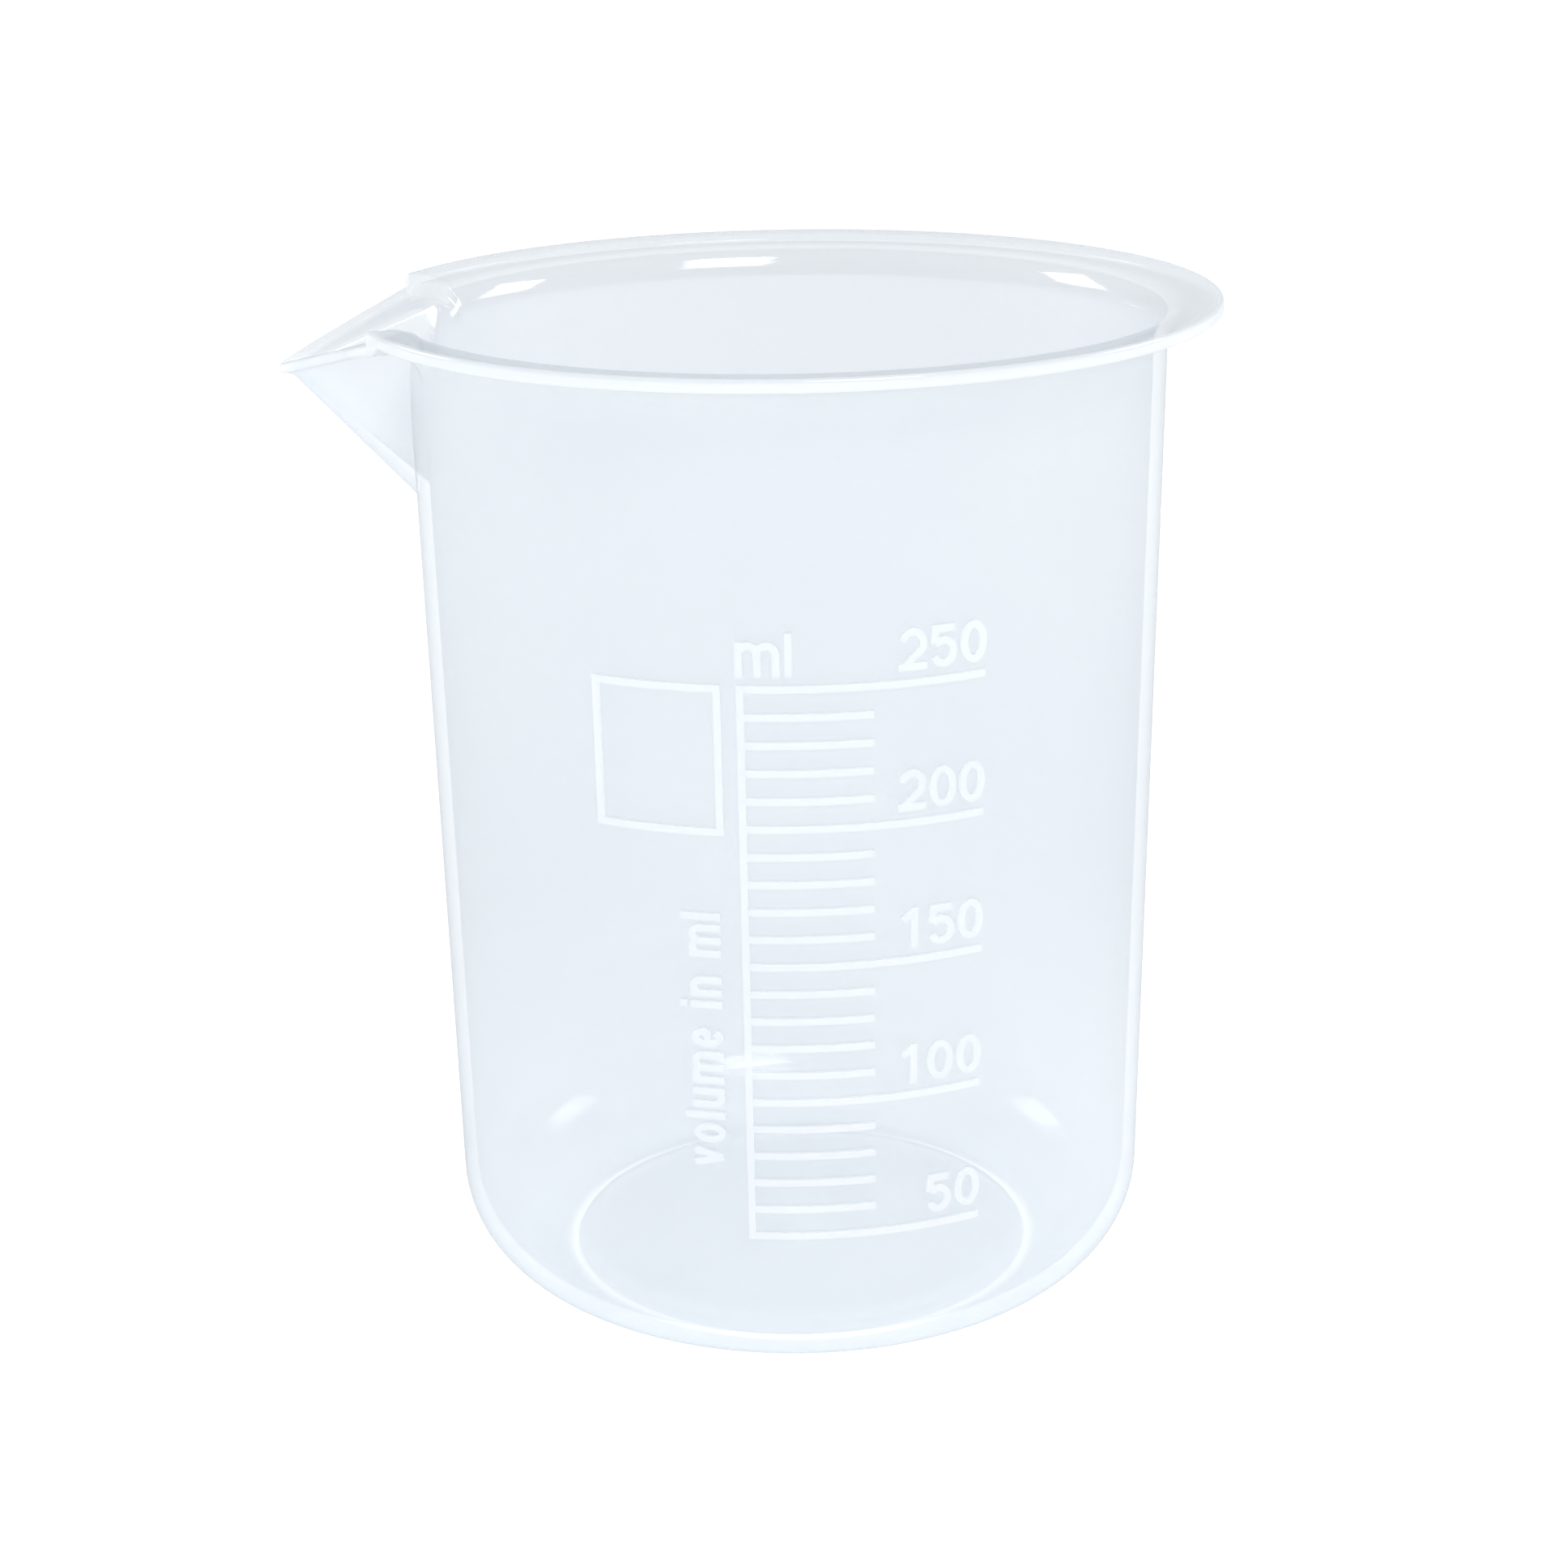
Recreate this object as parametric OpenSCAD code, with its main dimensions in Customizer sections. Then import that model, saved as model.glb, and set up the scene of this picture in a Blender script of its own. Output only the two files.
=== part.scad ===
// Graduated low-form beaker, 250 ml, moulded in one shot of translucent plastic.
// Origin: centre of the plane that the standing ring rests on. +Z is up,
// the spout points along -X, and the raised scale faces -Y.
// The moulding is drawn as regions that meet face to face (base, wall, rim and spout),
// with each raised mark as a solid of its own on the wall's surface.

/* [Cup] */
// Height from the table to the top of the rim
cup_h = 99.4; // [94:0.1:110]
// Outer radius of the wall, carried down to the table
foot_r = 34.9; // [33:0.1:35.5]
// Outer radius of the wall, carried up to the rim's top
mouth_r = 36.65; // [36:0.05:38]
// Thickness of the wall
wall_t = 1.3; // [1:0.1:2]
// Outer radius of the rounded heel between floor and wall
heel_r = 10.3; // [7:0.1:12]
// Thickness of the floor
floor_t = 1.3; // [1:0.1:2]
// Width of the ring that the beaker stands on
ring_w = 1.4; // [1:0.1:3]
// Depth of the shallow recess inside the standing ring
ring_h = 0.6; // [0.3:0.1:1.2]
// Radius of the gate's boss under the middle of the floor
gate_r = 2.8; // [1.5:0.1:5]
// Height of the gate's boss, which stays inside the recess
gate_h = 0.45; // [0.1:0.05:0.5]

/* [Rim] */
// Outer radius of the flared rim
rim_r = 41.75; // [40.8:0.05:44]
// Thickness of the rim's lip
rim_t = 1.25; // [1:0.05:1.8]
// Radius of the curve between the wall and the underside of the rim
flare_r = 3; // [2:0.1:3.6]

/* [Spout] */
// Distance from the cup's axis to the tip of the spout
tip_r = 49.5; // [47:0.1:53]
// Drop of the spout's tip below the rim's top
tip_drop = 6; // [4:0.1:8]
// Height of the keel's foot on the wall, below the rim's top
keel_drop = 19.2; // [17:0.1:22]
// Thickness of the spout's sheet
spout_t = 1.1; // [0.9:0.05:1.4]
// Half angle of the gap in the rim that the spout fills
gap_half = 22.5; // [20:0.5:26]
// Half angle of the spout's mouth where it leaves the wall
mouth_half = 14; // [11:0.5:16]

/* [Scale] */
// Smallest marked volume in millilitres
first_ml = 50; // [50:50:100]
// Largest marked volume in millilitres
last_ml = 250; // [200:50:250]
// Volume between neighbouring lines in millilitres
step_ml = 10; // [10:10:50]
// Volume between the long, numbered lines in millilitres
major_ml = 50; // [50:50:50]
// Angle of the scale's spine, measured from -Y towards +X
spine_az = -7.4; // [-10:0.1:0]
// Angle where the short lines end
minor_az = 11.4; // [8:0.1:16]
// Angle where the long lines end
major_az = 28.3; // [22:0.1:34]
// Width of the raised lines and letter strokes
stroke = 0.65; // [0.5:0.05:0.8]
// Height that the marks stand out of the wall
relief = 0.3; // [0.2:0.05:0.5]
// Height of the numerals
digit_h = 3.9; // [3:0.1:4.4]
// Width of one numeral
digit_w = 2.6; // [2:0.1:3]
// Distance from one numeral to the next
digit_pitch = 2.95; // [2.7:0.05:3.4]

/* [Label and captions] */
// Angle of the blank label frame's left edge
label_az0 = -29.6; // [-34:0.1:-26]
// Angle of the blank label frame's right edge
label_az1 = -10.2; // [-14:0.1:-9]
// Angle of the baseline of the upright caption
caption_az = -11.1; // [-13:0.1:-10.5]
// Height where the upright caption starts
caption_z = 23.8; // [20:0.1:28]
// Height of the small letters in the caption
letter_h = 3; // [2:0.1:3.5]
// Width of a small letter in the caption
letter_w = 1.95; // [1.6:0.05:2.2]
// Gap between two letters
letter_gap = 0.5; // [0.3:0.05:0.8]

/* [Hidden] */
$fn = 96;

// The wall's taper and the heights where the moulding's regions meet
taper = (mouth_r - foot_r) / cup_h;
lean = atan(taper);
heel_z = 12.5;
lip_lower_z = cup_h - rim_t;
flare_z = lip_lower_z - flare_r;
floor_z = ring_h + floor_t;
inner_heel_r = heel_r - wall_t;
arc_steps = 10;

tip_z = cup_h - tip_drop;
keel_z = cup_h - keel_drop;
clear = 20;

// Outer and inner radius of the wall at height z
function wall_r(z) = foot_r + taper * z;
function bore_r(z) = wall_r(z) - wall_t;

// Points on an arc of radius r about c, from angle a to angle b
function arc(c, r, a, b, n = arc_steps) =
    [for (i = [0 : n]) let (t = a + (b - a) * i / n) c + r * [cos(t), sin(t)]];

// Centre of a heel arc of radius r that is tangent to the plane at z and to a wall
// whose radius at the table is r0
function heel_centre(r0, r, z) = [r0 + taper * (z + r) - r / cos(lean), z + r];

// Height of the liquid that holds ml millilitres: the cone above the floor, less the
// corner that the inner heel fills
corner_loss = (1 - PI / 4) * pow(inner_heel_r, 2) * 2 * PI * (bore_r(floor_z) - 0.2234 * inner_heel_r);
function level(ml) =
    (pow(3 * taper / PI * (1000 * ml + corner_loss) + pow(bore_r(floor_z), 3), 1 / 3) - bore_r(0)) / taper;

// A ring about the axis between two azimuths, counted from -Y towards +X
module sweep(az0, az1) {
    rotate([0, 0, az0 - 90]) rotate_extrude(angle = az1 - az0) children();
}

// ---- Moulding ----

// Floor with the gate's boss below it, rounded heel and the ring that the cup stands on
module base() {
    outer_c = heel_centre(foot_r, heel_r, 0);
    inner_c = heel_centre(foot_r - wall_t, inner_heel_r, floor_z);
    color([0.87, 0.91, 0.93, 0.7]) rotate_extrude() polygon(concat(
        [[0, ring_h - gate_h], [gate_r - 0.15, ring_h - gate_h], [gate_r, ring_h],
         [outer_c.x - ring_w - 0.1, ring_h], [outer_c.x - ring_w, 0]],
        arc(outer_c, heel_r, -90, -lean),
        [[wall_r(heel_z), heel_z], [bore_r(heel_z), heel_z]],
        arc(inner_c, inner_heel_r, -lean, -90),
        [[0, floor_z]]));
}

// Tapered wall up to the rim's curve, open where the spout's channel leaves it
module wall() {
    color([0.88, 0.92, 0.94, 0.6]) difference() {
        rotate_extrude() wall_section(heel_z, flare_z);
        channel();
    }
}

module wall_section(z0, z1) {
    polygon([[bore_r(z0), z0], [wall_r(z0), z0], [wall_r(z1), z1], [bore_r(z1), z1]]);
}

// Flared rim, which stops at both sides of the spout
module rim() {
    under_c = [wall_r(flare_z) + flare_r, flare_z];
    over_r = flare_r + wall_t;
    over_c = [bore_r(flare_z) + over_r, cup_h - over_r];
    edge_r = rim_t / 4;
    color([0.9, 0.94, 0.96, 0.75]) sweep(-90 + gap_half, 270 - gap_half) polygon(concat(
        [[bore_r(flare_z), flare_z], [wall_r(flare_z), flare_z]],
        arc(under_c, flare_r, 180, 90),
        arc([rim_r - edge_r, lip_lower_z + edge_r], edge_r, -90, 0, 3),
        arc([rim_r - edge_r, cup_h - edge_r], edge_r, 0, 90, 3),
        arc(over_c, over_r, 90, 180)));
}

// V-shaped pouring spout: a keel, two sides, a level lip on each side, and the part of
// the wall's edge that they grow from
module spout() {
    color([0.89, 0.93, 0.95, 0.7]) difference() {
        union() {
            keel_wedge(0);
            for (side = [-1, 1]) spout_lip(side);
            sweep(-90 - gap_half, -90 + gap_half) wall_section(flare_z, lip_lower_z);
        }
        channel();
        cup_space();
    }
}

// All that the wall and the cup's inside take up
module cup_space() {
    top_z = cup_h + clear;
    rotate_extrude() polygon([[0, 0], [wall_r(0), 0], [wall_r(flare_z), flare_z], [bore_r(flare_z), flare_z],
                              [bore_r(top_z), top_z], [0, top_z]]);
}

// Where the mouth's edge meets the lip, and where the lip meets the end of the rim
function on_ring(r, half) = [-r * cos(half), r * sin(half)];
mouth_edge = on_ring(wall_r(lip_lower_z), mouth_half);
lip_root = on_ring(bore_r(lip_lower_z) + 0.3, gap_half);
lip_corner = on_ring(rim_r - 0.2, gap_half);

// A wedge with a sloping keel, closed by a sloping top; the top rises by extra
module keel_wedge(extra) {
    tip = [-tip_r, 0, tip_z];
    foot = [-wall_r(keel_z), 0, keel_z];
    top_z = lip_lower_z + extra;
    // front: tip (0, 1); wall ring: keel foot 2, edges 3 to 6; back ring: 7 to 11
    back = [14, 0, 0];
    ring = [foot,
            [mouth_edge.x, mouth_edge.y, lip_lower_z], [mouth_edge.x, mouth_edge.y, top_z],
            [mouth_edge.x, -mouth_edge.y, top_z], [mouth_edge.x, -mouth_edge.y, lip_lower_z]];
    polyhedron(
        points = concat([tip - [0, 0, spout_t], tip + [0, 0, extra]], ring, [for (p = ring) p + back]),
        faces = concat(
            [[0, 2, 3], [0, 6, 2], [0, 3, 4, 1], [0, 1, 5, 6], [1, 4, 5]],
            [for (i = [0 : 4]) [2 + i, 7 + i, 7 + (i + 1) % 5, 2 + (i + 1) % 5]],
            [[11, 10, 9, 8, 7]]));
}

// The open channel inside the spout, one sheet's thickness inside the wedge
module channel() {
    translate([1.4 * spout_t, 0, 1.4 * spout_t]) keel_wedge(clear);
}

// Flat lip from the tip back to the end of the rim
module spout_lip(side) {
    low_z = lip_lower_z - spout_t;
    corners = [[tip_r * [-1, 0], tip_z - spout_t], [mouth_edge, low_z], [lip_root, low_z], [lip_corner, low_z]];
    hull() for (c = corners)
        translate([c[0].x, side * c[0].y, c[1]]) cylinder(h = spout_t, r = 0.05, $fn = 6);
}

// ---- Raised marks ----

// A band of the wall's surface, as thick as the relief
module surface_band(z0, z1) {
    polygon([[wall_r(z0), z0], [wall_r(z0) + relief, z0], [wall_r(z1) + relief, z1], [wall_r(z1), z1]]);
}

// A flat drawing, laid on the wall at an azimuth with its origin at height z
module on_wall(az, z, z0, z1) {
    rotate([0, 0, az]) intersection() {
        translate([0, 0, z]) rotate([90, 0, 0]) linear_extrude(mouth_r + clear) children();
        rotate_extrude() surface_band(z0, z1);
    }
}

// Degrees of azimuth for a length along the wall at height z
function turn(length, z) = length / wall_r(z) * 180 / PI;

module scale_line(ml, az1) {
    z = level(ml);
    sweep(spine_az + turn(stroke / 2, z), az1) surface_band(z - stroke / 2, z + stroke / 2);
}

module scale_spine() {
    half = turn(stroke / 2, level(major_ml));
    color("white") sweep(spine_az - half, spine_az + half)
        surface_band(level(first_ml) - stroke / 2, level(last_ml) + stroke / 2);
}

module major_lines() {
    color("white") for (ml = [first_ml : major_ml : last_ml]) scale_line(ml, major_az);
}

module minor_lines() {
    color("white") for (ml = [first_ml : step_ml : last_ml])
        if (ml % major_ml != 0) scale_line(ml, minor_az);
}

// A stroke of the pen: the band of width `stroke` along a path
function unit(v) = v / norm(v);
function left_of(v) = [-v.y, v.x];
function side_points(p, w) = [for (i = [0 : len(p) - 1]) let (
    a = unit(p[min(i + 1, len(p) - 1)] - p[min(i, len(p) - 2)]),
    b = unit(p[max(i, 1)] - p[max(i - 1, 0)]),
    n = unit(left_of(a + b)))
    p[i] + n * w / (2 * max(0.5, n * left_of(a)))];
module pen(path) {
    right = side_points(path, -stroke);
    polygon(concat(side_points(path, stroke), [for (i = [len(right) - 1 : -1 : 0]) right[i]]));
}
// Points on an ellipse's arc, rx wide and ry high
function bow(c, rx, ry, a, b, n = 9) =
    [for (i = [0 : n]) let (t = a + (b - a) * i / n) c + [rx * cos(t), ry * sin(t)]];
module oval(w, h) {
    difference() {
        polygon(bow([w, h] / 2, w / 2, h / 2, 0, 345, 23));
        polygon(bow([w, h] / 2, w / 2 - stroke, h / 2 - stroke, 0, 345, 23));
    }
}

// Numerals, drawn in a box w wide and h high
module digit(d, w = digit_w, h = digit_h) {
    s = stroke / 2;
    rx = w / 2 - s;
    if (d == 0) oval(w, h);
    if (d == 1) {
        pen([[w * 0.62, 0], [w * 0.62, h]]);
        pen([[w * 0.62, h - s], [w * 0.2, h * 0.72]]);
    }
    if (d == 2) {
        bowl = h * 0.29;
        pen(concat(bow([w / 2, h - s - bowl], rx, bowl, 165, -30), [[s + 0.1, s]]));
        pen([[0, s], [w, s]]);
    }
    if (d == 5) {
        bowl = h * 0.32 - s / 2;
        pen([[w - s, h - s], [s + 0.15, h - s], [s + 0.05, s + bowl * 1.75]]);
        pen(bow([w / 2 - 0.05, s + bowl], rx, bowl, 140, -155, 12));
    }
}

// A number whose last digit ends where the long lines end, just above its line
module numeral(ml) {
    digits = ml < 100 ? [floor(ml / 10), ml % 10] : [floor(ml / 100), floor(ml / 10) % 10, ml % 10];
    z = level(ml) + 1.15;
    color("white") for (i = [0 : len(digits) - 1]) {
        back = (len(digits) - 1 - i) * digit_pitch + digit_w / 2;
        on_wall(major_az + 0.2 - turn(back, z), z, z - 1, z + digit_h + 1)
            translate([-digit_w / 2, 0]) digit(digits[i]);
    }
}

// Small letters, drawn in a box w wide with the x-height h
function letter_width(c, w) = c == "m" ? 1.62 * w : (c == "l" || c == "i") ? stroke : c == " " ? 0.5 * w : w;
module arch(x, w, h) {
    pen(concat([[x + w, 0]], bow([x + w / 2, h - stroke / 2 - w / 2], w / 2, w / 2, 0, 180)));
}
module letter(c, w, h) {
    s = stroke / 2;
    if (c == "l") pen([[s, 0], [s, h * 1.25]]);
    if (c == "i") {
        pen([[s, 0], [s, h]]);
        pen([[s, h * 1.12], [s, h * 1.12 + stroke]]);
    }
    if (c == "v") {
        pen([[s, h], [w / 2, s]]);
        pen([[w - s, h], [w / 2, s]]);
    }
    if (c == "o") oval(w, h);
    if (c == "u") {
        pen(concat([[s, h]], bow([w / 2, w / 2], w / 2 - s, w / 2 - s, 180, 360)));
        pen([[w - s, 0], [w - s, h]]);
    }
    if (c == "n" || c == "m") {
        span = c == "n" ? w - stroke : (1.62 * w - stroke) / 2;
        pen([[s, 0], [s, h]]);
        arch(s, span, h);
        if (c == "m") arch(s + span, span, h);
    }
    if (c == "e") {
        pen(bow([w / 2, h / 2], w / 2 - s, h / 2 - s, 0, 320, 16));
        pen([[s, h / 2], [w - s, h / 2]]);
    }
}

// Distance from a word's start to its letter i
function advance(word, i, w, gap) = i == 0 ? 0 : advance(word, i - 1, w, gap) + letter_width(word[i - 1], w) + gap;

// The unit above the spine
module unit_mark() {
    z = level(last_ml) + 1.15;
    w = 2.45;
    color("white") on_wall(spine_az, z, z - 1, z + 6)
        for (i = [0, 1]) translate([advance("ml", i, w, 0.45) - 0.4, 0]) letter("ml"[i], w, 3.2);
}

// A plain caption, read upwards
module volume_caption() {
    word = "volume in ml";
    color("white") on_wall(caption_az, caption_z, caption_z - 1, caption_z + 28) rotate(90)
        for (i = [0 : len(word) - 1])
            translate([advance(word, i, letter_w, letter_gap), 0]) letter(word[i], letter_w, letter_h);
}

// A blank frame to write a name in, between the two highest numbered lines
module label_frame() {
    z0 = level(last_ml - major_ml);
    z1 = level(last_ml) + stroke / 2;
    side = turn(stroke, z1);
    color("white") {
        for (z = [z0, z1]) sweep(label_az0, label_az1) surface_band(z - stroke, z);
        for (az = [label_az0, label_az1 - side]) sweep(az, az + side) surface_band(z0, z1 - stroke);
    }
}

base();
wall();
rim();
spout();
scale_spine();
major_lines();
minor_lines();
numeral(50);  // numeral_50
numeral(100);  // numeral_100
numeral(150);  // numeral_150
numeral(200);  // numeral_200
numeral(250);  // numeral_250
unit_mark();
volume_caption();
label_frame();
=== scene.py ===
"""Looks for the 250 ml beaker: its translucent moulding, raised marks and a plain studio."""

import math

import bpy
import numpy as np
from mathutils import Matrix, Vector


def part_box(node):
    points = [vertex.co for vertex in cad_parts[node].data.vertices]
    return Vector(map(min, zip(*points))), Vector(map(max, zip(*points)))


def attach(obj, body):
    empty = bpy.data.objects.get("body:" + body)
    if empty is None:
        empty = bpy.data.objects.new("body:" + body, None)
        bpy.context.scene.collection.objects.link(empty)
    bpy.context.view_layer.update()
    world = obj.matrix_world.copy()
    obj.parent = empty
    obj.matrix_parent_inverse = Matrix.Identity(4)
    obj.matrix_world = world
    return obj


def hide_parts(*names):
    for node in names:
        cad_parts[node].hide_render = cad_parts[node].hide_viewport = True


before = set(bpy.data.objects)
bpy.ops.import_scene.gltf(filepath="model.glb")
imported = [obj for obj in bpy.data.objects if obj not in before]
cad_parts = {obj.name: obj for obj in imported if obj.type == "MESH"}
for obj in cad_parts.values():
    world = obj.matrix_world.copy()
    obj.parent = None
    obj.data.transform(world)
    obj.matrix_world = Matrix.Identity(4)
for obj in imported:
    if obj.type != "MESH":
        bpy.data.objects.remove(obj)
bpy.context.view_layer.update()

MM = 0.001
BODY = "root"
MOULDING_NODES = ("base", "wall", "rim", "spout")
MARK_NODES = (
    "scale_spine", "major_lines", "minor_lines", "numeral_50", "numeral_100", "numeral_150",
    "numeral_200", "numeral_250", "unit_mark", "volume_caption", "label_frame",
)

# ---- Sizes read from the CAD part, in millimetres ----


def box_mm(node):
    low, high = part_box(node)
    return Vector(low) / MM, Vector(high) / MM


_, base_high = box_mm("base")
_, wall_high = box_mm("wall")
_, rim_high = box_mm("rim")
spout_low, spout_high = box_mm("spout")

CUP_H = rim_high.z  # top of the rim
RIM_R = rim_high.y  # edge of the rim
FLARE_Z = wall_high.z  # where the rim's curve leaves the wall
HEEL_TOP = base_high.z
TAPER = (wall_high.y - base_high.y) / (FLARE_Z - HEEL_TOP)
FOOT_R = base_high.y - TAPER * HEEL_TOP
LIP_Z = spout_high.z  # top of the spout's lip, where it meets the rim
TIP_R = -spout_low.x  # tip of the spout
KEEL_Z = spout_low.z  # foot of the keel on the wall
RIM_T = CUP_H - LIP_Z

# Thicknesses and radii of the moulding
WALL_T = 1.3
FLOOR_T = 1.3
HEEL_R = 10.3
RING_W = 1.4
RING_H = 0.6
RING_FILLET = 0.25
GATE_R = 2.8  # boss under the floor's centre, where the plastic was injected
GATE_H = 0.45
GATE_FILLET = 0.15
RING_DRAFT, GATE_DRAFT = 0.1, 0.15  # how far the ring's and the gate's sides lean
FLARE_R = LIP_Z - FLARE_Z
SPOUT_T = 1.1
EDGE_R = 0.34  # rounding of the rim's and the lip's edge
TIP_DROP = CUP_H - 93.4  # how far the tip is below the rim's top
TIP_OVER, TIP_UNDER = 0.35, 0.2  # lines to the tip aim past it above, and short of it below
TIP_LIP = 0.6  # width of the lip in front of the channel at the tip
CHANNEL_DROP = 0.5  # how far the channel's end is below the tip
KEEL_INSIDE, KEEL_OUTSIDE = 0.4, 1.3  # from the keel's foot up to the channel, and down outside

# Half angles about the spout's centre line, in degrees
MOUTH = 14.0
MOUTH_UNDER = 15.2
GAP = 22.5
RAMP_END = 26.5
INNER_ROUND = 0.55
OUTER_ROUND = 1.1
MOUTH_STEP = 1.0  # how far the channel's two corners stay apart at the mouth's edge
CREASE_R = 1.3
FOLD_R = 2.0
FLANGE_ROUND = 0.3
FLARE_CUT = math.tan(math.radians(22.5))  # length cut off a corner of 45 degrees, for a radius of 1
LEG_USED = 0.98  # most of a leg that its two rounded corners may take
WEIGHT_FLOOR = 0.02  # keeps the curve over a very sharp corner from degenerating


def wall_r(z):
    return FOOT_R + TAPER * z


def bore_r(z):
    return wall_r(z) - WALL_T


def smooth(t):
    t = min(max(t, 0.0), 1.0)
    return t * t * (3 - 2 * t)


def lerp(a, b, t):
    return a + (b - a) * t


def softened(angle, rounding):
    """The angle, kept from reaching 0, so that a fold along the spout's centre line is round."""
    return math.hypot(angle, rounding)


def toward_tip(angle, edge_r, edge_angle, edge_z, tip_r, tip_z):
    """(r, z) where the radial plane at angle meets the line from the edge point to the tip."""
    a, e = math.radians(angle), math.radians(edge_angle)
    ex, ey, slope = edge_r * math.cos(e), edge_r * math.sin(e), math.tan(a)
    s = (ey - ex * slope) / (ey + (tip_r - ex) * slope)
    x, y = ex + (tip_r - ex) * s, ey * (1 - s)
    return math.hypot(x, y), lerp(edge_z, tip_z, s)


def flange_height(angle):
    """0 on the spout's lip and 1 on the rim: a steep end face with a small rounding above it."""
    along = math.radians(angle - GAP) * RIM_R
    if along < 0:
        return 0.0
    drop = FLANGE_ROUND - math.sqrt(max(0.0, FLANGE_ROUND**2 - max(0.0, FLANGE_ROUND - along) ** 2))
    return 1.0 - drop / RIM_T


def upper_side(angle):
    """The moulding's inner side at this angle.

    Gives the bore's corner, the flare's corner, their two radii, and the lip's edge.
    """
    bell_r = FLARE_R + WALL_T
    cut = bell_r * FLARE_CUT
    rise = flange_height(angle)
    top = lerp(LIP_Z, CUP_H, rise)
    bell_w = top - bell_r + cut
    bell_q = bore_r(FLARE_Z) + bell_r - cut
    if angle >= GAP:
        return (bore_r(bell_w), bell_w), (bell_q, top), bell_r, bell_r, (RIM_R, top)
    a = softened(angle, INNER_ROUND)
    tip_z = CUP_H - TIP_DROP
    edge = toward_tip(softened(angle, OUTER_ROUND), RIM_R, GAP, LIP_Z, TIP_R + TIP_OVER, tip_z)
    if angle >= MOUTH:
        t = smooth((angle - MOUTH) / (GAP - MOUTH))
        w = lerp(LIP_Z - MOUTH_STEP, LIP_Z - bell_r + cut, t)
        q = lerp(bore_r(LIP_Z) + MOUTH_STEP, bell_q, t)
        radii = lerp(CREASE_R, bell_r, t), lerp(FOLD_R, bell_r, t)
        return (bore_r(w), w), (q, LIP_Z), *radii, edge
    share = math.sin(math.radians(a)) / math.sin(math.radians(MOUTH))
    w = lerp(KEEL_Z + KEEL_INSIDE, LIP_Z - MOUTH_STEP, min(share, 1.0))
    channel_end = TIP_R - TIP_LIP, tip_z - CHANNEL_DROP
    q = toward_tip(a, bore_r(LIP_Z) + MOUTH_STEP, MOUTH, LIP_Z, *channel_end)
    return (bore_r(w), w), q, CREASE_R, FOLD_R, edge


def under_side(angle, edge):
    """The moulding's outer side at this angle, as in upper_side, for the lip's edge found there."""
    cut = FLARE_R * FLARE_CUT
    rise = smooth((angle - GAP) / (RAMP_END - GAP))
    low = lerp(LIP_Z - SPOUT_T, LIP_Z, rise)
    flare_w = low - FLARE_R + cut
    flare_q = wall_r(FLARE_Z) + FLARE_R - cut
    if angle >= GAP:
        return (wall_r(flare_w), flare_w), (flare_q, low), FLARE_R, FLARE_R, (RIM_R, low)
    edge_low = (edge[0], edge[1] - SPOUT_T)
    if angle >= MOUTH_UNDER:
        t = smooth((angle - MOUTH_UNDER) / (GAP - MOUTH_UNDER))
        w = lerp(low - MOUTH_STEP, flare_w, t)
        q = lerp(wall_r(low) + MOUTH_STEP, flare_q, t)
        radii = lerp(CREASE_R, FLARE_R, t), lerp(FOLD_R, FLARE_R, t)
        return (wall_r(w), w), (q, low), *radii, edge_low
    a = softened(angle, OUTER_ROUND)
    share = math.sin(math.radians(a)) / math.sin(math.radians(MOUTH_UNDER))
    w = lerp(KEEL_Z - KEEL_OUTSIDE, low - MOUTH_STEP, min(share, 1.0))
    tip_z = CUP_H - TIP_DROP - SPOUT_T
    q = toward_tip(a, wall_r(low) + MOUTH_STEP, MOUTH_UNDER, low, TIP_R - TIP_UNDER, tip_z)
    return (wall_r(w), w), q, CREASE_R, FOLD_R, edge_low


# ---- Profiles with rounded corners ----


def rounded(corners):
    """Points along a profile with rounded corners.

    Each corner is (point, radius, steps over the corner, steps to the next corner). The second
    list says how far along the corners each point is: a corner's number and a share of its leg.
    """
    points = [np.array(c[0], float) for c in corners]
    legs = [points[i + 1] - points[i] for i in range(len(points) - 1)]
    lengths = [float(np.linalg.norm(v)) for v in legs]
    ways = [v / max(n, 1e-9) for v, n in zip(legs, lengths)]
    cuts = [0.0] * len(points)
    for i in range(1, len(points) - 1):
        turn = math.acos(float(np.clip(ways[i - 1] @ ways[i], -1, 1)))
        cuts[i] = corners[i][1] * math.tan(turn / 2)
    for i in range(len(lengths)):  # two neighbouring corners share the line between them
        room = lengths[i] * LEG_USED
        if cuts[i] + cuts[i + 1] > room:
            scale = room / (cuts[i] + cuts[i + 1])
            cuts[i], cuts[i + 1] = cuts[i] * scale, cuts[i + 1] * scale
    out, passed = [], []
    for i, (_, _, around, onward) in enumerate(corners):
        if around:
            start, end = points[i] - ways[i - 1] * cuts[i], points[i] + ways[i] * cuts[i]
            weight = math.sqrt(max(WEIGHT_FLOOR, (1 + float(ways[i - 1] @ ways[i])) / 2))
            for k in range(around + 1):
                s = k / around
                parts = (1 - s) ** 2, 2 * weight * s * (1 - s), s * s
                out.append((parts[0] * start + parts[1] * points[i] + parts[2] * end) / sum(parts))
                passed.append(float(i))
        else:
            out.append(points[i])
            passed.append(float(i))
        if i < len(lengths) and onward > 1:
            start, end = points[i] + ways[i] * cuts[i], points[i + 1] - ways[i] * cuts[i + 1]
            shares = [(1 - math.cos(math.pi * k / onward)) / 2 for k in range(1, onward)]
            out.extend(start + (end - start) * s for s in shares)
            passed.extend(i + s for s in shares)
    return out, passed


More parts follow.
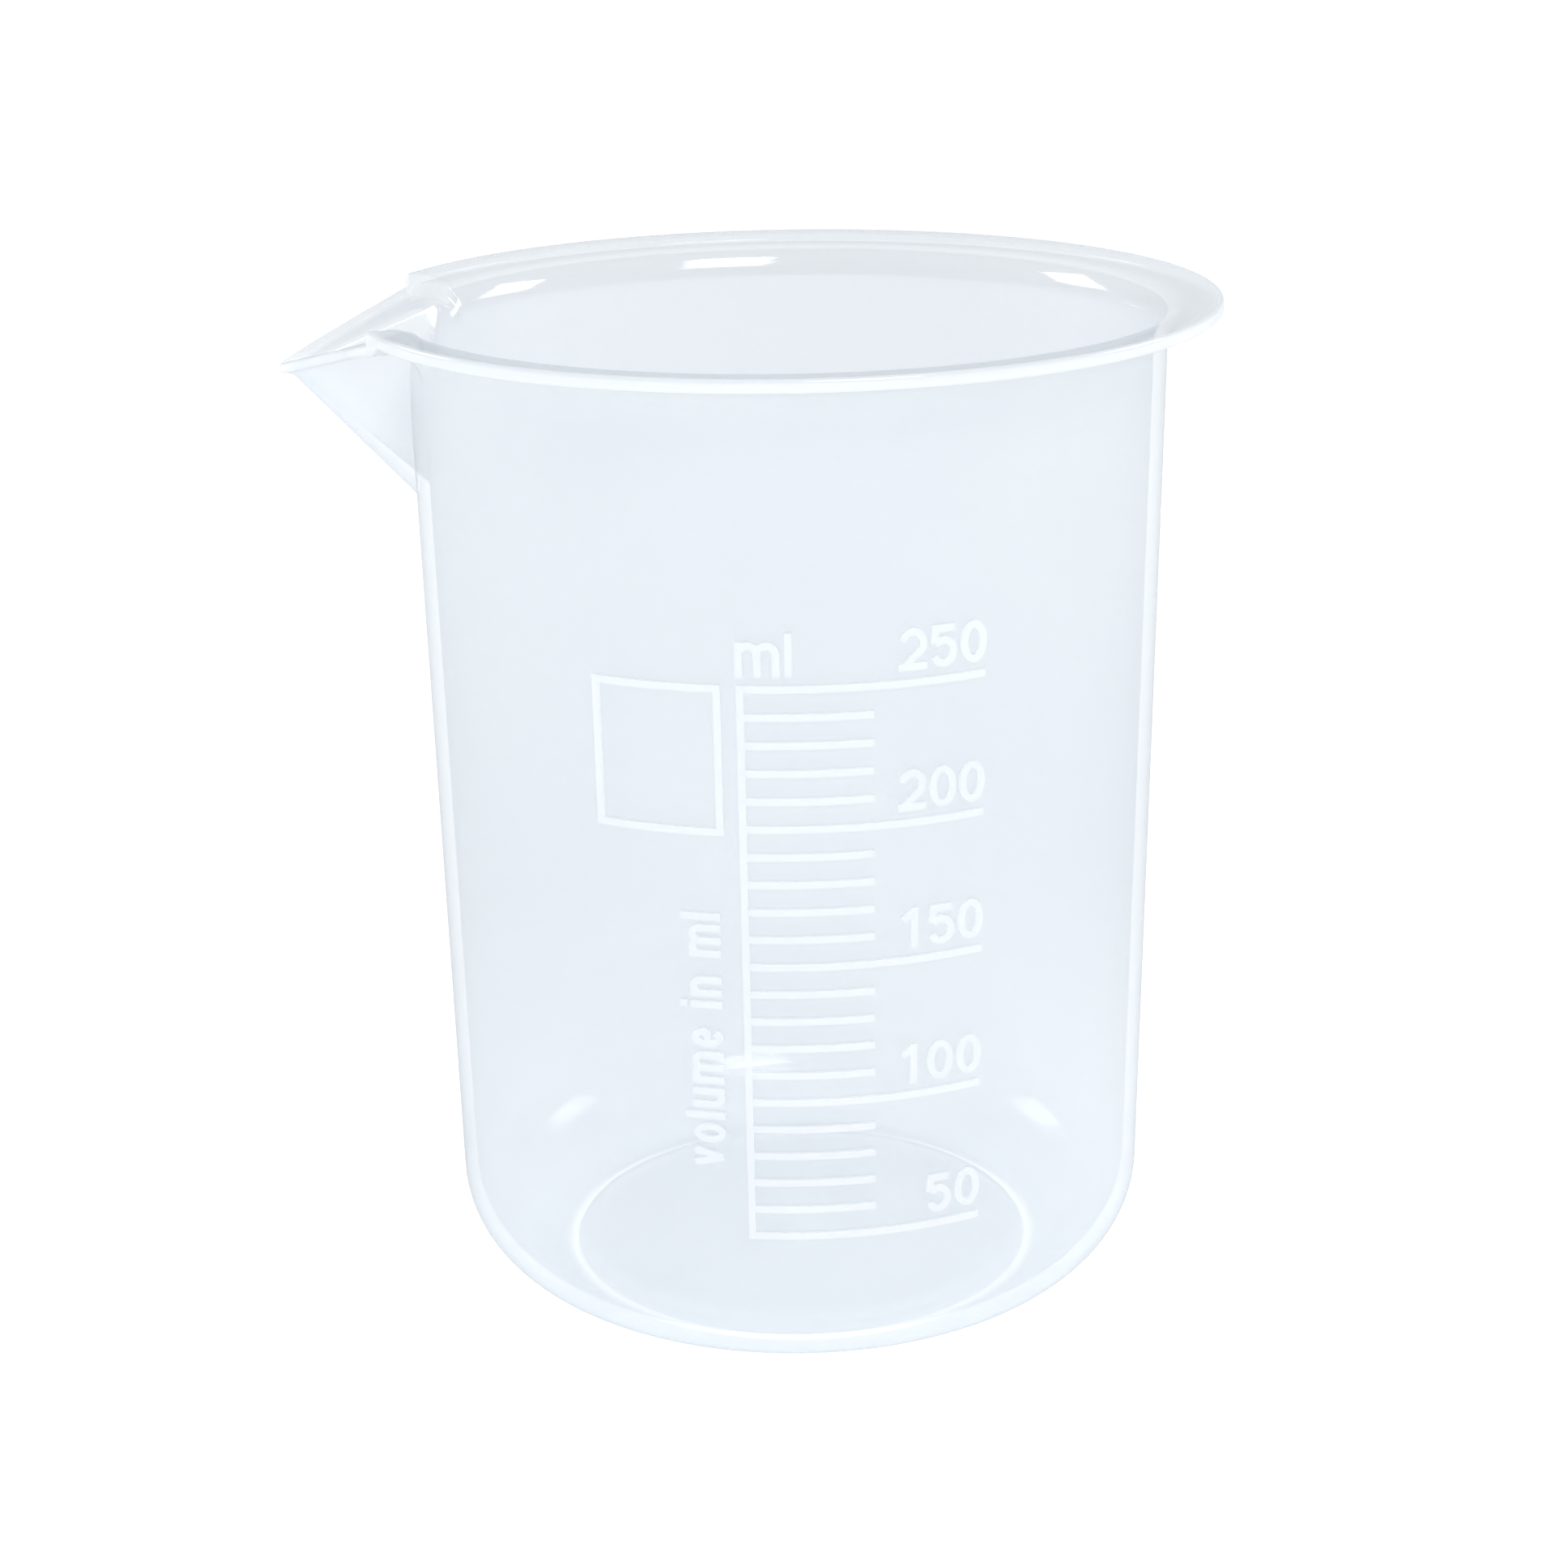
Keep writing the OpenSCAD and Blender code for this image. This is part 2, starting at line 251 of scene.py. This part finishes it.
def moulding_profile(angle):
    """The moulding's closed section, from the floor's centre over the edge to the underside's."""
    w, q, w_r, q_r, edge = upper_side(angle)
    w2, q2, w2_r, q2_r, edge2 = under_side(angle, edge)
    floor_z = RING_H + FLOOR_T
    ring_in = FOOT_R - HEEL_R - RING_W + TAPER * HEEL_R
    ring_out = FOOT_R - HEEL_R + TAPER * HEEL_R
    return rounded([
        ((0.0, floor_z), 0, 0, 14),
        ((bore_r(floor_z), floor_z), HEEL_R - WALL_T, 18, 26),
        (w, w_r, 10, 4),
        (q, q_r, 9, 6),
        (edge, EDGE_R, 5, 2),
        (edge2, EDGE_R, 5, 6),
        (q2, q2_r, 9, 4),
        (w2, w2_r, 10, 30),
        ((wall_r(0), 0.0), HEEL_R, 20, 2),
        ((ring_in, 0.0), RING_FILLET, 4, 1),
        ((ring_in - RING_DRAFT, RING_H), RING_FILLET, 4, 6),
        ((GATE_R, RING_H), GATE_FILLET, 3, 1),
        ((GATE_R - GATE_DRAFT, RING_H - GATE_H), GATE_FILLET, 3, 3),
        ((0.0, RING_H - GATE_H), 0, 0, 0),
    ])


def half_angles():
    """Columns from the spout's centre to the far side, closest where the shape changes."""
    near = [0, 0.2, 0.45, 0.75, 1.1, 1.5] + [2 + 0.4 * i for i in range(30)]
    lip = [14 + 0.4 * i for i in range(21)] + [22.2, 22.4, 22.47]
    step = [GAP, GAP + 0.04, GAP + 0.1, GAP + 0.18, GAP + 0.28, GAP + 0.42, GAP + 0.7]
    ramp = [23.7 + 0.6 * i for i in range(6)]
    rest = list(np.linspace(28, 180, 70))
    return [float(a) for a in near + lip + step + ramp + rest]


# Numbers of the corners in moulding_profile
BORE_CORNER, EDGE, EDGE_UNDER, UNDER_FOLD = 2, 4, 5, 6
UNDER_CORNER, RING_OUT, RING_STEP, GATE_STEP = 7, 8, 10, 12
KEEL_WIDTH = 4.0  # half angle, in degrees, over which the spout's fold has painted shade along its keel
RING_GLOW = 1.6  # how far from the ring the painted light on the floor reaches
FADED = 1.5  # where the gate's painted glow and the heel's painted shade have faded out, in their radii
LIP_FADE = 4.0  # the lip's painted glow is gone after a leg of the profile divided by this
LIP_GLOW, RIM_GLOW = 0.3, 0.6  # how much painted glow these edges get
HEEL_FOLD = 0.3  # painted shade on the heel's outer side, where the keel's is 1
RIM_SHADE, CHANNEL_SHADE = 0.35, 0.4  # painted shade on the rim's top and in the spout's channel
FLOOR_SHADE = 0.8  # painted shade on the floor's inner side
FOOT_SHADE, WALL_SHADE = 0.3, 1.0  # painted shade on the wall's inner side, at its foot and above
SHADE_TOP = 60.0  # height where the painted shade on the wall's inner side has reached its full strength


def painted_glow_and_fold_shade(passed, angle, radius, height):
    """Painted glow above 0, on the rim, lip, ring and gate; painted shade below 0 on folds."""
    # painted glow on the standing ring and on the gate's boss underneath
    if RING_OUT + 0.5 <= passed <= RING_STEP or passed >= GATE_STEP:
        return 1.0
    if passed < 1:
        return smooth(FADED - radius / GATE_R)
    lip = smooth(1.0 - LIP_FADE * max(EDGE - passed, passed - EDGE_UNDER, 0.0))
    lip *= lerp(LIP_GLOW, RIM_GLOW, smooth((angle - MOUTH) / (GAP - MOUTH)))
    # painted shade along the spout's keel and on the heel's outer side
    if UNDER_FOLD <= passed <= UNDER_CORNER:
        return -smooth(1.0 - angle / KEEL_WIDTH)
    if UNDER_CORNER < passed <= RING_OUT:
        return -HEEL_FOLD * smooth(FADED - height / HEEL_R)
    return lip


def inner_shade(passed, angle, radius, height):
    """Painted shade of the inner side, 0 on the outer side. Over its ring the floor has less of it.
    """
    if passed >= EDGE:
        return 0.0
    if passed < 1:
        # painted highlight of the standing ring and the gate: the floor's painted shade is lifted
        # there
        ring = smooth(1 - abs(radius - (FOOT_R - HEEL_R - RING_W / 2)) / RING_GLOW)
        return FLOOR_SHADE * (1 - max(ring, painted_glow_and_fold_shade(passed, angle, radius, height)))
    wall = lerp(FOOT_SHADE, WALL_SHADE, smooth(height / SHADE_TOP))
    if passed <= BORE_CORNER:
        return wall
    # near the top the painted shade turns into that of the rim's top and of the spout's channel
    in_channel = smooth((GAP - angle) / (GAP - MOUTH))
    top = lerp(RIM_SHADE, CHANNEL_SHADE * smooth(angle / KEEL_WIDTH), in_channel)
    return lerp(wall, top, smooth(2 * (passed - BORE_CORNER)))


def mesh_object(name, points, faces):
    mesh = bpy.data.meshes.new(name)
    mesh.from_pydata([tuple(p) for p in points], [], faces)
    mesh.validate()
    mesh.shade_smooth()
    made = bpy.data.objects.new(name, mesh)
    bpy.context.scene.collection.objects.link(made)
    return made


def build_moulding():
    half = half_angles()
    angles = [-a for a in reversed(half[1:-1])] + half
    points, inside, edges, rows = [], [], [], 0
    for angle in angles:
        profile, passed = moulding_profile(abs(angle))
        profile, passed = profile[1:-1], passed[1:-1]
        rows = len(profile)
        a = math.radians(angle)
        points += [(-r * math.cos(a) * MM, -r * math.sin(a) * MM, z * MM) for r, z in profile]
        # per point: painted shade of the inner side, painted glow (above 0) and painted fold shade
        # (below 0)
        inside += [inner_shade(p, abs(angle), r, z) for p, (r, z) in zip(passed, profile)]
        edges += [painted_glow_and_fold_shade(p, abs(angle), r, z) for p, (r, z) in zip(passed, profile)]
    floor_pole, under_pole = len(points), len(points) + 1
    points += [(0.0, 0.0, (RING_H + FLOOR_T) * MM), (0.0, 0.0, (RING_H - GATE_H) * MM)]
    faces = []
    for i in range(len(angles)):
        a, b = i * rows, (i + 1) % len(angles) * rows
        faces.append((floor_pole, a, b))
        faces += [(a + k, a + k + 1, b + k + 1, b + k) for k in range(rows - 1)]
        faces.append((under_pole, b + rows - 1, a + rows - 1))
    made = mesh_object("moulding", points, faces)
    for name, values in (("inside", inside + [0.0, 0.0]), ("edge", edges + [1.0, 1.0])):
        made.data.attributes.new(name, "FLOAT", "POINT").data.foreach_set("value", values)
    return made


# ---- Materials ----


MIX_A, MIX_B, MIX_RESULT = 6, 7, 2  # a Mix node's sockets for colours


def new_material(name):
    material = bpy.data.materials.new(name)
    material.use_nodes = True
    material.node_tree.nodes.clear()
    return material, material.node_tree


def add(tree, kind, inputs=None, **settings):
    """A node with its settings and its inputs, which are constants or other nodes' outputs."""
    made = tree.nodes.new(kind)
    for key, value in settings.items():
        setattr(made, key, value)
    for key, value in (inputs or {}).items():
        if isinstance(value, bpy.types.NodeSocket):
            tree.links.new(value, made.inputs[key])
        else:
            made.inputs[key].default_value = value
    return made


def ramp(tree, factor, low, high, start=0.35, end=0.65):
    made = add(tree, "ShaderNodeValToRGB", {"Fac": factor})
    first, last = made.color_ramp.elements
    first.position, first.color = start, (*low, 1)
    last.position, last.color = end, (*high, 1)
    return made.outputs["Color"]


def blend(tree, factor, tint, other, how):
    made = add(tree, "ShaderNodeMix", data_type="RGBA", blend_type=how, clamp_factor=False)
    tree.links.new(factor, made.inputs["Factor"])
    tree.links.new(tint, made.inputs[MIX_A])
    made.inputs[MIX_B].default_value = (*other, 1)
    return made.outputs[MIX_RESULT]


def spread(tree, factor, low, high, end=1.0):
    """low where the factor is 0, and high where it reaches end."""
    return add(tree, "ShaderNodeMapRange", {
        "Value": factor, "From Max": end, "To Min": low, "To Max": high,
    }).outputs["Result"]


def math_node(tree, how, first, second, clamp=False):
    made = add(tree, "ShaderNodeMath", {0: first, 1: second}, operation=how, use_clamp=clamp)
    return made.outputs[0]


INNER_MILK = 0.25  # what the inner side scatters under its full painted shade, as a share of the outer side's
SHADED_INSIDE = 0.3  # where the inner side's painted shade has switched off the darker outline
SHINE_STRAIGHT, SHINE_GRAZING = 0.065, 0.14  # share of light mirrored, straight on and edge on
SHINE_POWER, OUTLINE_POWER = 5.0, 6.0  # how closely shine and the darker outline keep to the edge


def plastic(name, cloudy, bright, clear, milk_share, roughness, shell=None):
    """Milky see-through plastic: scattering and clear parts, under a soft shine.

    shell, for the moulding itself, holds four tints: painted shade of the inner side, painted glow
    of bright edges, the ring and the gate, painted shade of what passes through the inner side, and
    painted shade of folds.
    """
    material, tree = new_material(name)
    place = add(tree, "ShaderNodeTexCoord").outputs["Object"]
    flow = add(tree, "ShaderNodeTexNoise", {
        "Vector": place, "Scale": 28.0, "Detail": 3.0, "Roughness": 0.5,
    })
    grain = add(tree, "ShaderNodeTexNoise", {"Vector": place, "Scale": 900.0, "Detail": 2.0})
    ripple = add(tree, "ShaderNodeTexNoise", {"Vector": place, "Scale": 45.0, "Detail": 1.0})
    waves = add(tree, "ShaderNodeBump", {
        "Height": ripple.outputs["Fac"], "Strength": 0.25, "Distance": 0.0004,
    })
    bump = add(tree, "ShaderNodeBump", {
        "Height": grain.outputs["Fac"], "Strength": 0.12, "Distance": 0.00005,
        "Normal": waves.outputs["Normal"],
    })
    normal = bump.outputs["Normal"]
    tint = ramp(tree, flow.outputs["Fac"], cloudy, bright)
    edge_on = add(tree, "ShaderNodeLayerWeight", {"Blend": 0.5}).outputs["Facing"]
    share = spread(tree, edge_on, milk_share[0], milk_share[1])
    depth = math_node(tree, "POWER", edge_on, OUTLINE_POWER)
    # painted shade of the inner side switches off the darker outline there
    if shell:
        inside = add(tree, "ShaderNodeAttribute", attribute_name="inside").outputs["Fac"]
        outside = spread(tree, inside, 1.0, 0.0, SHADED_INSIDE)
        depth = math_node(tree, "MULTIPLY", depth, outside)
    passing = add(tree, "ShaderNodeMix", {
        MIX_A: (*clear[0], 1), MIX_B: (*clear[1], 1), "Factor": depth,
    }, data_type="RGBA").outputs[MIX_RESULT]
    # painted shade on the inner side and on folds, painted glow on the rim's edge, lip, ring and
    # gate
    if shell:
        inner_shade_tint, glow_tint, shaded_passing, fold_shade_tint = shell
        edge = add(tree, "ShaderNodeAttribute", attribute_name="edge").outputs["Fac"]
        fold = math_node(tree, "MULTIPLY", edge, -1.0, clamp=True)
        glowing = math_node(tree, "ADD", edge, 0.0, clamp=True)
        tint = blend(tree, inside, tint, inner_shade_tint, "MULTIPLY")
        tint = blend(tree, fold, tint, fold_shade_tint, "MULTIPLY")
        passing = blend(tree, inside, passing, shaded_passing, "MULTIPLY")
        passing = blend(tree, fold, passing, fold_shade_tint, "MULTIPLY")
        share = math_node(tree, "MULTIPLY", share, spread(tree, inside, 1.0, INNER_MILK))
        tint = blend(tree, glowing, tint, glow_tint, "MIX")
        share = math_node(tree, "MAXIMUM", share, edge)
    surface = add(tree, "ShaderNodeBsdfDiffuse", {"Color": tint, "Normal": normal})
    glow = add(tree, "ShaderNodeBsdfTranslucent", {"Color": tint, "Normal": normal})
    milk = add(tree, "ShaderNodeMixShader", {"Fac": 0.5, 1: surface.outputs[0], 2: glow.outputs[0]})
    see = add(tree, "ShaderNodeBsdfTransparent", {"Color": passing})
    body = add(tree, "ShaderNodeMixShader", {"Fac": share, 1: see.outputs[0], 2: milk.outputs[0]})
    gloss = add(tree, "ShaderNodeBsdfGlossy", {
        "Color": (1, 1, 1, 1), "Normal": normal,
        "Roughness": spread(tree, flow.outputs["Fac"], roughness[0], roughness[1]),
    })
    rise = math_node(tree, "POWER", edge_on, SHINE_POWER)
    shine = spread(tree, rise, SHINE_STRAIGHT, SHINE_GRAZING)
    whole = add(tree, "ShaderNodeMixShader", {
        "Fac": shine, 1: body.outputs[0], 2: gloss.outputs[0],
    })
    add(tree, "ShaderNodeOutputMaterial", {"Surface": whole.outputs[0]})
    return material


moulding_material = plastic(
    "translucent_plastic",
    cloudy=(0.945, 0.97, 0.992), bright=(0.968, 0.986, 1.0),
    clear=((0.965, 0.98, 0.993), (0.45, 0.49, 0.53)),
    milk_share=(0.33, 0.45), roughness=(0.08, 0.11),
    # painted shade of the inner side, painted glow, painted shade seen through the inner side, of
    # folds
    shell=((0.52, 0.54, 0.565), (0.96, 0.98, 0.995), (0.865, 0.875, 0.885), (0.87, 0.89, 0.91)),
)
marks_material = plastic(
    "raised_plastic",
    cloudy=(0.955, 0.978, 0.99), bright=(0.98, 0.99, 1.0),
    clear=((0.985, 0.993, 1.0), (0.93, 0.94, 0.95)),
    milk_share=(0.33, 0.5), roughness=(0.2, 0.3),
)

# ---- Pieces ----

moulding = build_moulding()
moulding.data.materials.append(moulding_material)
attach(moulding, BODY)
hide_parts(*MOULDING_NODES)

for node in MARK_NODES:
    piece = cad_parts[node]
    piece.data.materials.clear()
    piece.data.materials.append(marks_material)
for node in MOULDING_NODES:
    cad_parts[node].data.materials.clear()
    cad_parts[node].data.materials.append(moulding_material)

# ---- Studio ----


TABLE_GLOW = (0.45, 0.68)  # the light table's own light, under the cup and far from it
TABLE_NEAR, TABLE_FAR = 0.1, 1.3  # distances in metres between which it changes
WORLD_LIGHT = 0.34


def floor_material():
    material, tree = new_material("studio_floor")
    place = add(tree, "ShaderNodeTexCoord").outputs["Object"]
    noise = add(tree, "ShaderNodeTexNoise", {"Vector": place, "Scale": 3.0, "Detail": 4.0})
    away = add(tree, "ShaderNodeVectorMath", {0: place}, operation="LENGTH").outputs["Value"]
    glow = add(tree, "ShaderNodeMapRange", {
        "Value": away, "From Min": TABLE_NEAR, "From Max": TABLE_FAR,
        "To Min": TABLE_GLOW[0], "To Max": TABLE_GLOW[1],
    }, interpolation_type="SMOOTHSTEP").outputs["Result"]
    paint = add(tree, "ShaderNodeBsdfPrincipled", {
        "Base Color": ramp(tree, noise.outputs["Fac"], (0.93, 0.93, 0.93), (0.95, 0.95, 0.95)),
        "Roughness": 0.8, "Specular IOR Level": 0.1,
        "Emission Color": (1, 1, 1, 1), "Emission Strength": glow,
    })
    add(tree, "ShaderNodeOutputMaterial", {"Surface": paint.outputs[0]})
    return material


FLOOR_HALF = 6.0
floor = mesh_object(
    "studio_floor",
    [(x * FLOOR_HALF, y * FLOOR_HALF, 0.0) for x, y in ((-1, -1), (1, -1), (1, 1), (-1, 1))],
    [(0, 1, 2, 3)],
)
floor.data.materials.append(floor_material())

world = bpy.data.worlds.new("studio")
world.use_nodes = True
background = world.node_tree.nodes["Background"]
background.inputs["Color"].default_value = (1.0, 1.0, 1.0, 1)
background.inputs["Strength"].default_value = WORLD_LIGHT
bpy.context.scene.world = world


def softbox(name, azimuth, elevation, width, height, brightness, distance=0.9):
    """An area light facing the cup. Azimuth 0 is the scale's side, and it grows to the right."""
    a, e = math.radians(azimuth), math.radians(elevation)
    away = Vector((math.sin(a) * math.cos(e), -math.cos(a) * math.cos(e), math.sin(e)))
    data = bpy.data.lights.new(name, "AREA")
    data.shape = "RECTANGLE"
    data.size, data.size_y = width, height
    data.energy = brightness * math.pi * width * height
    lamp = bpy.data.objects.new(name, data)
    centre = Vector((0.0, 0.0, CUP_H * MM / 2))
    lamp.location = centre + away * distance
    lamp.rotation_mode = "QUATERNION"
    lamp.rotation_quaternion = away.to_track_quat("Z", "Y")
    bpy.context.scene.collection.objects.link(lamp)
    return lamp


for fill in (  # wide, dim lights, whose mirror images would hide those of the boxes
    softbox("front_fill", -12, 9, 1.4, 0.5, 3.8, 1.3),
    softbox("left_fill", -80, 5, 0.8, 0.5, 1.2, 1.3),
    softbox("right_fill", 80, 5, 0.8, 0.5, 1.2, 1.3),
):
    fill.visible_glossy = False
softbox("front_right_box", 23, 48.5, 0.34, 0.28, 9.5)
softbox("right_box", 106, 27, 0.3, 0.24, 8.5)
softbox("left_box", -114, 28, 0.3, 0.24, 8.5)

# ---- Camera, in front of the scale and a little above the rim ----

CAMERA_AT = Vector((0.0, -0.29996, 0.15078))
CAMERA_LENS = 71.73
PITCH, YAW, ROLL = 0.325, -0.0034, -0.017

camera_data = bpy.data.cameras.new("camera")
camera_data.lens = CAMERA_LENS
camera_data.sensor_width = 36.0
camera_data.clip_start, camera_data.clip_end = 0.01, 50.0
camera = bpy.data.objects.new("camera", camera_data)
camera.matrix_world = (
    Matrix.Translation(CAMERA_AT)
    @ Matrix.Rotation(-YAW, 4, "Z")
    @ Matrix.Rotation(math.pi / 2 - PITCH, 4, "X")
    @ Matrix.Rotation(ROLL, 4, "Z")
)
bpy.context.scene.collection.objects.link(camera)
bpy.context.scene.camera = camera
bpy.context.scene.view_settings.view_transform = "Standard"
